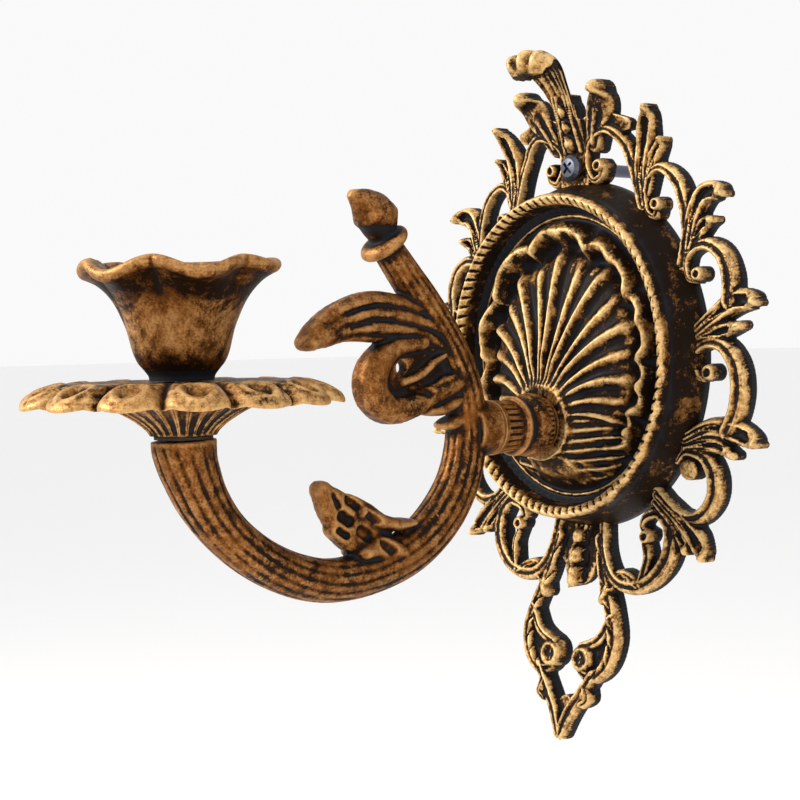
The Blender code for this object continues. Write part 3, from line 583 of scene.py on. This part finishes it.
# ---------------------------------------------------------------- crest plume
# The palm leaf at the top of the wall plate, cast in one with it. It stands up from the beads
# above the screw and curls forward over itself: hollow in front, with a thick rolled lip.
PLUME = [  # out from the wall, up, half thickness, half width
    (4.0, 7.0, 1.6, 3.2), (4.6, 13.0, 2.0, 3.6), (5.4, 19.0, 2.4, 4.2), (7.2, 25.0, 2.8, 5.4),
    (10.0, 29.6, 3.2, 7.4), (13.8, 31.6, 3.6, 8.8), (16.8, 29.8, 3.4, 8.4), (17.8, 27.0, 2.2, 6.4),
]
PLUME_COLUMNS = 72


def tube(spine, columns, section):
    """Sweeps a ring along rows of (across, out, up, ...).

    section(row, turn, along) gives the ring's offsets sideways and outwards at one row.
    """
    path = smooth_path(spine, 12)
    along = np.gradient(path[:, :3], axis=0)
    along /= np.linalg.norm(along, axis=1)[:, None]
    sideways = np.array([1.0, 0, 0])
    out = np.cross(along, sideways)
    turn = np.linspace(0, math.tau, columns + 1)
    rings = []
    for i, row in enumerate(path):
        a, b = section(row, turn, i / (len(path) - 1))
        rings.append(row[:3] + a[:, None] * sideways + b[:, None] * out[i])
    middle = [np.repeat(rings[end].mean(0)[None], columns + 1, 0) for end in (0, -1)]
    return np.stack([middle[0], *rings, middle[1]])


def plume_section(row, turn, along):
    thick, wide = row[3:5]
    across = np.cos(turn)
    through = np.sin(turn) * thick
    hollow = 1.5 * thick * (1 - across**2) * (np.sin(turn) < 0) * (1 - ease(along, 0.82, 1.0))
    flutes = 0.35 * np.cos(5 * math.pi * across) * (np.sin(turn) < 0) * ease(along, 0.1, 0.3)
    ruffle = 0.3 * thick * np.cos(3 * math.pi * across) * bell(along, 0.84, 0.1)
    return wide * across * (1 + 0.06 * np.cos(3 * turn)), through + hollow + flutes + ruffle


plume = skin(tube([(0.0, -out, up, thick, wide) for out, up, thick, wide in PLUME],
                  PLUME_COLUMNS, plume_section))
lean_out(plume.verts)
crest_plume = make_piece("crest_plume", plume, "mounted_frame", "antique_gold", "wall_plate")
rub(crest_plume, facing=(0, -0.8, 0.6))
crest_plume.data.materials.append(PLATE_GOLD)


# ---------------------------------------------------------------- arm
# One casting in bronze-gold: the reeded curl from the collar round to the cup, its stem with a
# flange and a bud, the big leaf and the volute on its front, and a small leaf inside the curl.
CUP_Y = -151.5
ARM_END = -78.3
ARM_COLUMNS = 112
ARM_VOXEL = 0.48
REEDS, REED_DEPTH = 15, 1.25
VOLUTE_HOLE = (-79.0, -61.2, 1.9)  # out, up, radius
CURL = [  # out, up, radius
    (CUP_Y, ARM_END, 8.7), (-151.3, -81.2, 8.6), (-149.9, -86.4, 8.0), (-146.0, -95.0, 7.2),
    (-139.2, -103.8, 6.5), (-129.4, -111.6, 6.3), (-117.4, -117.6, 6.3), (-104.0, -120.5, 6.3),
    (-90.0, -119.2, 6.6), (-76.0, -114.6, 6.9), (-64.6, -106.4, 6.9), (-56.4, -95.0, 6.6),
    (-53.0, -81.0, 6.3), (-54.6, -67.0, 6.0), (-60.4, -54.6, 5.8), (-68.4, -43.2, 5.5),
    (-76.2, -33.6, 5.0), (-82.8, -25.6, 4.6),
]


def reeded(row, turn, along):
    """A ring with narrow grooves that wander a little and are fainter near the cup."""
    groove = 1 - np.abs(np.sin(REEDS * turn / 2 + 1.3 * math.sin(9 * along)))
    beyond_cup = ease(along, 0.0, 0.16)
    one_side = 0.7 * ease(np.sin(turn), 0.2, 0.8) * ease(along, 0.01, 0.05)
    ring = row[3] - REED_DEPTH * np.maximum(beyond_cup, one_side) * ease(groove, 0.5, 0.96)
    return ring * np.cos(turn), ring * np.sin(turn)


def joined(name, parts):
    """Puts several closed shapes into one bmesh."""
    whole = bmesh.new()
    for part in parts:
        bmesh.ops.recalc_face_normals(part, faces=part.faces)
        mesh = bpy.data.meshes.new(name)
        part.to_mesh(mesh)
        part.free()
        whole.from_mesh(mesh)
        bpy.data.meshes.remove(mesh)
    return whole


def fused(bm, voxel):
    """Fuses overlapping closed shapes into one skin of even small faces."""
    mesh = bpy.data.meshes.new("fusing")
    bm.to_mesh(mesh)
    bm.free()
    holder = bpy.data.objects.new("fusing", mesh)
    bpy.context.collection.objects.link(holder)
    remesh = holder.modifiers.new("remesh", "REMESH")
    remesh.mode = "VOXEL"
    remesh.voxel_size = voxel
    remesh.adaptivity = 0.0
    graph = bpy.context.evaluated_depsgraph_get()
    result = bpy.data.meshes.new_from_object(holder.evaluated_get(graph), depsgraph=graph)
    made = bmesh.new()
    made.from_mesh(result)
    bpy.data.objects.remove(holder)
    bpy.data.meshes.remove(mesh)
    bpy.data.meshes.remove(result)
    return made


def round_band(half, groove=0.0, count=3.0):
    """A band of rounded section, with lengthwise grooves that fade towards its end."""
    def form(side, along, inside):
        dome = np.clip(1 - side**2, 0, 1) ** 0.35
        lines = 0.5 - 0.5 * np.cos(math.tau * count * (side + 1) / 2)
        return half * dome - groove * (1 - lines) ** 2 * dome * (1 - ease(along, 0.5, 0.85))
    return form


# The big leaf over the volute, and the small leaf low inside the curl: a relief that is mirrored to
# both sides of the arm.
leaves = Relief((-118.0, -128.0), (-50.0, -34.0), 0.4)
leaves.band([(-58.0, -62.0, 10.0), (-69.0, -62.6, 16.0), (-80.0, -63.4, 18.0)], plain(2.0))
leaves.band([(-60.0, -56.0, 10.0), (-68.0, -50.4, 13.0), (-79.0, -47.4, 14.6), (-90.0, -46.4, 14.6),
             (-100.0, -48.0, 11.4), (-107.4, -51.2, 8.4), (-111.0, -53.4, 5.0)],
            round_band(4.9, 1.1, 3.5))
leaves.band([(-72.0, -54.0, 5.0), (-82.0, -55.6, 6.0), (-88.4, -61.6, 8.6), (-88.8, -68.4, 9.2),
             (-83.4, -73.2, 8.4), (-75.6, -72.4, 7.6), (-66.0, -68.6, 7.0), (-57.0, -66.0, 6.0)],
            round_band(5.4))
leaves.band([(-62.0, -57.0, 2.6), (-67.0, -59.6, 3.0), (-72.6, -63.4, 3.2), (-79.0, -65.4, 2.8)],
            round_band(4.4))
leaves.band([(-60.0, -64.0, 3.0), (-66.0, -66.4, 3.2), (-70.0, -69.4, 2.6)], round_band(4.8))
leaves.dent([(-74.6, -67.4, 4.4), (-71.0, -69.0, 3.4)], 1.6)
leaves.band([(-57.0, -71.0, 4.0), (-64.0, -73.6, 4.4), (-69.4, -74.0, 3.0)], round_band(4.6))
leaves.band([(-55.0, -77.0, 4.0), (-59.4, -78.2, 4.2), (-62.0, -78.8, 2.6)], round_band(4.4))
leaves.band([(-80.0, -118.0, 10.0), (-88.0, -112.4, 11.0), (-97.0, -105.6, 13.0),
             (-103.6, -99.6, 10.4), (-107.6, -94.8, 5.6)], round_band(3.4))
leaves.band([(-86.0, -107.0, 6.0), (-93.0, -102.4, 6.6), (-98.6, -98.8, 5.0)], round_band(3.3))
leaves.band([(-90.0, -113.0, 5.0), (-98.0, -110.2, 5.6), (-103.6, -106.0, 5.0)], round_band(3.3))
leaves.band([(-82.0, -114.4, 5.0), (-88.6, -112.4, 7.0), (-95.4, -113.4, 4.0)],
            round_band(7.0))
leaves.band([(-95.0, -101.6, 3.6), (-89.4, -104.6, 4.6), (-82.6, -106.4, 4.0),
             (-77.0, -106.2, 2.2)], round_band(5.6))
for out, up, wide in ((-101.0, -103.2, 4.2), (-94.4, -108.0, 4.4), (-88.4, -112.2, 3.8),
                      (-102.0, -107.2, 2.6), (-98.6, -98.9, 3.2), (-92.6, -103.4, 3.0)):
    leaves.dent([(out - 1.3, up + 0.9, wide), (out + 1.3, up - 0.9, wide)], 2.1)
leaves.dent([(-105.2, -96.2, 1.8), (-103.4, -99.6, 2.6)], 1.8)
leaves.dent([(-100.0, -45.8, 1.6), (-94.0, -44.2, 2.0), (-88.0, -43.2, 1.2)], 1.0)
leaves.dent([(-98.6, -49.6, 1.6), (-94.6, -48.6, 1.8), (-91.6, -48.6, 1.2)], 1.0)
out, up, radius = VOLUTE_HOLE
apart = np.hypot(leaves.place[:, 0] - out, leaves.place[:, 1] - up)
leaves.inside = np.minimum(leaves.inside, np.where(apart < 6, apart - radius, 9.0))
leaves.height += 0.12 * lumps(np.column_stack([leaves.place, leaves.place[:, 0] * 0]), 1.6)
leaves.height = np.maximum(leaves.height, 0.6)
relief_leaves = leaves.cast(0.0, flat_back=False)
bmesh.ops.mirror(relief_leaves, geom=relief_leaves.verts[:] + relief_leaves.edges[:]
                 + relief_leaves.faces[:], axis="Z", merge_dist=1e-3)
turn_leaves = Matrix(((0, 0, 1, 0), (1, 0, 0, 0), (0, 1, 0, 0), (0, 0, 0, 1)))
bmesh.ops.transform(relief_leaves, matrix=turn_leaves, verts=relief_leaves.verts)


def round_section(row, turn, along):
    return row[3] * np.cos(turn), row[3] * np.sin(turn)


# The bud that ends the stem, in two overlapping parts, with its flange, and the collar's seat.
bud = skin(tube([(0, -82.0, -27.0, 4.4), (0, -83.2, -23.6, 4.2), (0, -84.4, -20.6, 5.4),
                 (0, -85.6, -17.0, 6.4), (0, -86.0, -14.6, 5.4), (0, -86.2, -12.8, 3.6)],
                48, round_section))
bud_tip = skin(tube([(0, -84.6, -20.4, 4.6), (0, -87.0, -16.6, 6.2), (0, -90.0, -14.0, 4.6),
                     (0, -93.0, -12.4, 2.6), (0, -95.2, -11.4, 1.2)], 48, round_section))
flange = skin(tube([(0, -81.7, -26.9, 5.0), (0, -82.0, -26.5, 6.9), (0, -82.9, -25.4, 7.7),
                    (0, -83.8, -24.3, 6.9), (0, -84.1, -23.9, 5.0)], 48, round_section))
seat = skin(tube([(0, -53.0, HUB_Z, 8.4), (0, -44.4, HUB_Z, 8.4)], 64, round_section))
curl = skin(tube([(0, out, up, radius) for out, up, radius in CURL], ARM_COLUMNS, reeded))
parts = [curl, bud, bud_tip, flange, seat, relief_leaves]
arm_mesh = fused(joined("arm", parts), ARM_VOXEL)
bmesh.ops.smooth_vert(arm_mesh, verts=arm_mesh.verts, factor=0.5, use_axis_x=True,
                      use_axis_y=True, use_axis_z=True)
arm = make_piece("arm_casting", arm_mesh, "mounted_frame", "antique_bronze", "arm")
# Painted shade: less gold, so darker black, in the neck between the flange and the bud.
rub(arm, painted_shade=lambda at: 0.4 * bell(at[:, 2], -21.8, 1.8))
ARM_BRONZE = antique("arm_bronze", (0.43, 0.23, 0.085, 1), (0.175, 0.063, 0.012, 1),
                     (0.065, 0.022, 0.004, 1), (0.011, 0.005, 0.002, 1), 0.16)
arm.data.materials.append(ARM_BRONZE)


# ---------------------------------------------------------------- arm collar
# A turned and fluted sleeve in bronze-gold between the shell's hub and the arm, clamped by the
# arm bolt that runs through it.
COLLAR_FLUTES, COLLAR_BEADS = 24, 40
COLLAR = [  # distance out from the wall, radius
    (43.95, 3.0), (43.95, 7.9), (43.2, 8.3), (41.6, 8.2), (36.4, 7.9), (35.4, 8.6), (34.4, 9.2),
    (33.4, 8.8), (32.6, 7.8), (31.8, 7.6), (31.0, 8.6), (29.6, 9.5), (27.6, 9.9), (25.4, 9.7),
    (24.4, 9.1), (23.8, 8.4), (23.2, 8.6), (22.5, 8.5), (22.35, 7.6), (22.35, 3.0), (30.0, 2.85),
    (43.95, 3.0),
]
collar = smooth_path(COLLAR, 6)
turn = np.linspace(0, math.tau, 193)
radius = collar[:, 1, None] + 0 * turn
fluted = ease(collar[:, 0], 36.0, 37.2) * (1 - ease(collar[:, 0], 41.4, 42.6))
radius = radius - 0.8 * fluted[:, None] * ease(np.cos(COLLAR_FLUTES * turn), 0.1, 0.9)
beaded = bell(collar[:, 0], 25.8, 0.8)
radius = radius - 0.45 * beaded[:, None] * ease(np.cos(COLLAR_BEADS * turn), 0.0, 0.9)
points = np.stack([radius * np.cos(turn), -collar[:, 0, None] + 0 * turn,
                   HUB_Z + radius * np.sin(turn)], -1)
arm_collar = make_piece("collar_ring", skin(points), "mounted_frame", "antique_bronze",
                        "arm_collar")
rub(arm_collar)
arm_collar.data.materials.append(ARM_BRONZE)


# ---------------------------------------------------------------- drip pan
# A casting of drooping petals round a flat middle, with an oval hollow in each petal, in one with
# the fluted cone below it. It catches the wax, and it is clamped between the cup and the arm.
PETALS, PETAL_COLUMNS = 14, 36
CREASE, TIP_DROOP, FLUTE = 1.1, 1.3, 0.8  # depths
HOLLOW_AT, HOLLOW_LONG, HOLLOW_WIDE = 36.8, 3.8, 0.22  # radius, half length, share of a petal
HOLLOW_DEPTH = 1.6
PAN_STEPS = 8
TOP_ENDS, UNDER_STARTS = 10, 12  # places in PAN where the top ends and the underside starts
PAN = [  # radius, up, share of the petals' outline
    (2.4, -63.1, 0), (9.0, -63.1, 0), (10.0, -63.3, 0), (11.6, -64.2, 0), (14.0, -63.7, 0),
    (20.0, -62.9, 0), (27.0, -62.7, 0.1), (33.0, -63.1, 0.5), (38.0, -64.3, 0.9),
    (41.4, -65.6, 1.0), (42.6, -66.8, 1.0), (42.5, -67.9, 1.0), (41.0, -67.7, 1.0),
    (36.0, -66.7, 0.8), (30.0, -66.5, 0.3), (24.0, -67.6, 0), (18.0, -70.2, 0), (14.0, -72.4, 0),
    (11.4, -74.2, 0), (9.6, -75.8, 0), (8.9, -76.8, 0), (8.3, -77.0, 0), (2.4, -77.0, 0),
    (2.4, -63.1, 0),
]
pan = smooth_path(PAN, PAN_STEPS)
turn = np.linspace(0, math.tau, PETALS * PETAL_COLUMNS + 1)
radius, up, share = pan[:, 0, None], pan[:, 1, None], pan[:, 2, None]
row = np.arange(len(pan))[:, None]
in_petal = (turn / math.tau * PETALS + 0.5) % 1 - 0.5
petal = np.cos(math.pi * in_petal)
spread = radius - 7.0 * share * (1 - np.sqrt(1 - 3.8 * in_petal**2))
crease = CREASE * ease(radius, 20, 34) * (1 - ease(petal, 0.0, 0.45)) * (share > 0)
tip_droop = TIP_DROOP * petal * ease(radius, 36.5, 42.6) ** 1.5
hollow = np.sqrt(((radius - HOLLOW_AT) / HOLLOW_LONG) ** 2 + (in_petal / HOLLOW_WIDE) ** 2)
sunk = 0.5 * bell(hollow, 1.25, 0.25) - HOLLOW_DEPTH * (1 - ease(hollow, 0.5, 1.0))
on_top = (row < TOP_ENDS * PAN_STEPS) * (share > 0.1)
wave = np.abs(np.sin(PETALS * turn))
flutes = ease(wave, 0.25, 0.9) + 0.5 * bell(wave, 0, 0.12)
on_cone = (row > UNDER_STARTS * PAN_STEPS) * ease(radius, 8.4, 10.5) * (1 - ease(radius, 28, 36))
up = up - crease - tip_droop + sunk * on_top
spread = spread - FLUTE * on_cone * flutes
points = np.stack([spread * np.cos(turn), CUP_Y + spread * np.sin(turn), up + 0 * turn], -1)
drip_pan = make_piece("petal_pan", skin(points), "cup_and_pan", "antique_bronze", "drip_pan")
rub(drip_pan)
PAN_BRONZE = antique("pan_bronze", (0.60, 0.37, 0.15, 1), (0.26, 0.118, 0.032, 1),
                     (0.07, 0.027, 0.006, 1), (0.011, 0.005, 0.002, 1), 0.14)
drip_pan.data.materials.append(PAN_BRONZE)


# ---------------------------------------------------------------- candle cup
# A flower-shaped cup cast in bronze-gold, with a foot darkened by painted shade, a belled body
# and a flared rim of six soft petals. The screw in its floor clamps it and the pan to the arm.
CUP_PETALS, PETAL_PHASE = 6, 0.916
CUP = [  # radius, up, share of the petals
    (2.4, -62.8, 0), (8.0, -62.8, 0), (8.5, -62.4, 0), (8.8, -61.2, 0), (10.0, -59.6, 0),
    (11.3, -58.0, 0), (12.2, -56.2, 0), (12.8, -54.4, 0), (13.4, -52.0, 0), (14.2, -49.0, 0),
    (15.4, -46.0, 0.05), (17.0, -42.6, 0.1), (19.2, -39.4, 0.3), (22.0, -36.6, 0.6),
    (24.6, -34.9, 0.9), (26.1, -34.1, 1.0), (26.9, -32.8, 1.0), (26.4, -31.5, 1.0),
    (24.8, -31.2, 1.0), (21.6, -32.8, 0.8), (18.6, -36.2, 0.4), (16.2, -41.0, 0.1),
    (14.0, -46.0, 0), (12.4, -50.0, 0), (11.0, -54.0, 0), (9.8, -57.4, 0), (8.6, -59.1, 0),
    (2.4, -59.2, 0), (2.4, -62.8, 0),
]
cup = smooth_path(CUP, 7)
turn = np.linspace(0, math.tau, 361)
radius, up, share = cup[:, 0, None], cup[:, 1, None], cup[:, 2, None]
petal = np.abs(np.cos(CUP_PETALS / 2 * turn + PETAL_PHASE))
lobe = np.sqrt(petal + 0.02)
droop = 1.6 + 2.0 * np.cos(turn + 1.05)  # each petal is bent by hand, some lower than others
spread = radius * (1 - share * 0.10 * (1 - lobe))
up = up + share * (0.6 - droop * petal**2)
spread = spread - 0.5 * bell(petal, 0, 0.3) * ease(up, -50, -38) * (share < 0.95)
points = np.stack([spread * np.cos(turn), CUP_Y + spread * np.sin(turn), up + 0 * turn], -1)
candle_cup = make_piece("flower_cup", skin(points), "cup_and_pan", "antique_bronze",
                        "candle_cup")
# Painted shade: darker black on the foot above the pan, and in a band under the flared rim.
rub(candle_cup, painted_shade=lambda at: (0.5 * (1 - ease(at[:, 2], -61.0, -53.0))
                                   + 0.22 * bell(at[:, 2], -39.5, 3.5)))
CUP_BRONZE = antique("cup_bronze", (0.46, 0.255, 0.096, 1), (0.18, 0.065, 0.012, 1),
                     (0.065, 0.022, 0.004, 1), (0.011, 0.005, 0.002, 1), 0.08, (1, 1, 0.55))
candle_cup.data.materials.append(CUP_BRONZE)


# ---------------------------------------------------------------- screws and washers
# Bought parts: a black steel wall screw with a worn cross head, zinc-plated screws and washers
# that hold the arm and the cup, and a black fibre washer under the pan.
def metal(name, colour, roughness, metallic, grain):
    f = Finish(name)
    cloud = f.noise(grain, 3.0, 0.6)
    tint = f.mix(cloud, tuple(0.6 * part for part in colour) + (1,), tuple(colour) + (1,))
    return f.give(Base_Color=tint, Metallic=metallic, Roughness=roughness + 0.2 * cloud,
                  Normal=f.bump(cloud, 0.00005, 0.3))


BLACK_STEEL = metal("black_steel", (0.11, 0.12, 0.16), 0.3, 0.8, 900)
ZINC = metal("zinc_plate", (0.72, 0.73, 0.76), 0.22, 1.0, 600)
FIBRE = metal("black_fibre", (0.02, 0.02, 0.02), 0.7, 0.0, 1500)
for name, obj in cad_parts.items():
    if name == "wall_screw":
        finish = BLACK_STEEL
    elif name == "pan_washer":
        finish = FIBRE
    else:
        finish = ZINC
    obj.data.materials.clear()
    obj.data.materials.append(finish)


# ---------------------------------------------------------------- room, light and camera
# A pale floor in a nearly white room, with a soft key light from the front left, a warm fill from
# the right and a weak light overhead. The camera looks at the sconce from its right-hand side.
floor = bpy.data.objects.new("floor", bpy.data.meshes.new("floor"))
bpy.context.collection.objects.link(floor)
bm = bmesh.new()
bmesh.ops.create_grid(bm, x_segments=2, y_segments=2, size=30.0)
bmesh.ops.translate(bm, vec=(0, 0, -0.42), verts=bm.verts)
bm.to_mesh(floor.data)
bm.free()
PALE_FLOOR = Finish("pale_floor").give(Base_Color=(0.92, 0.92, 0.92, 1), Roughness=0.9)
floor.data.materials.append(PALE_FLOOR)

world = bpy.data.worlds.new("studio")
bpy.context.scene.world = world
world.use_nodes = True
sky = world.node_tree.nodes["Background"]
sky.inputs["Color"].default_value = (1.0, 1.0, 1.0, 1)
sky.inputs["Strength"].default_value = 0.95


def soft_light(name, place, target, size, power, colour=(1, 1, 1)):
    """A round area light that faces its target."""
    lamp = bpy.data.lights.new(name, "AREA")
    lamp.shape = "DISK"
    lamp.size = size
    lamp.energy = power
    lamp.color = colour
    holder = bpy.data.objects.new(name, lamp)
    holder.location = place
    holder.rotation_euler = (Vector(target) - Vector(place)).to_track_quat("-Z", "Y").to_euler()
    bpy.context.collection.objects.link(holder)


soft_light("key", (-0.5, -0.85, 0.42), (0, -0.06, -0.06), 0.28, 13, (1, 0.95, 0.88))
soft_light("fill", (0.9, -0.5, -0.1), (0, -0.06, -0.06), 0.5, 2.6, (1, 0.72, 0.45))
soft_light("top", (0.1, -0.2, 0.9), (0, -0.08, -0.06), 0.4, 2)

heading, tilt, roll = math.radians(51.16), math.radians(2.095), math.radians(1.2)
ahead = Vector((-math.sin(heading), math.cos(heading), 0))
right = Vector((math.cos(heading), math.sin(heading), 0))
up_axis = Vector((0, 0, 1))
forward = ahead * math.cos(tilt) - up_axis * math.sin(tilt)
upward = up_axis * math.cos(tilt) + ahead * math.sin(tilt)
side_axis = right * math.cos(roll) - upward * math.sin(roll)
top_axis = upward * math.cos(roll) + right * math.sin(roll)
bpy.context.scene.view_settings.view_transform = "Standard"
camera = bpy.data.objects.new("camera", bpy.data.cameras.new("camera"))
camera.data.lens = 73.8
camera.data.clip_start = 0.01
pose = Matrix((side_axis, top_axis, -forward)).transposed().to_4x4()
camera.matrix_world = Matrix.Translation((0.3709, -0.3769, -0.0532)) @ pose
bpy.context.collection.objects.link(camera)
bpy.context.scene.camera = camera
